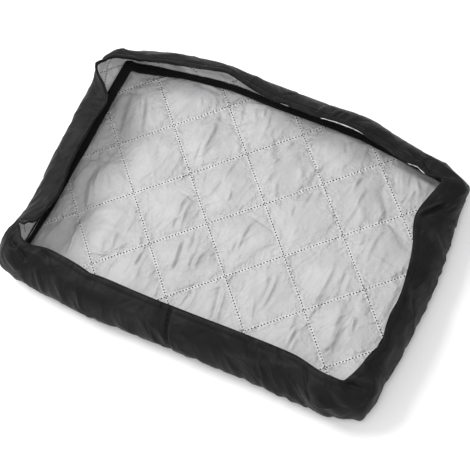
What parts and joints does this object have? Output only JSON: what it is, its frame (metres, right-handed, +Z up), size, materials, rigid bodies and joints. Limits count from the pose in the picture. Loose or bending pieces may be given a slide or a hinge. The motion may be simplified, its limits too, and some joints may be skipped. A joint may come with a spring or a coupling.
{
  "type": "air conditioner cover",
  "caption": "Quilted, lined cloth cover for a window air conditioner, lying on its front with its elastic hem up.",
  "frame": {"origin": "on the ground under the middle of the whole cover", "axes": "+X along the long side, +Y along the short side, +Z up, out of the cover's open side"},
  "size_m": [0.5716, 0.413, 0.0853],
  "materials": {
    "outer_cloth": "black proofed plain weave, soft sheen",
    "lining": "silver coated satin, quilted",
    "tape": "matt black woven binding"
  },
  "bodies": {
    "root": {"face_cloth": "outer_cloth", "wall_cloth": "outer_cloth", "face_lining": "lining", "wall_lining": "lining", "seam_tape": "tape"}
  },
  "joints": []
}
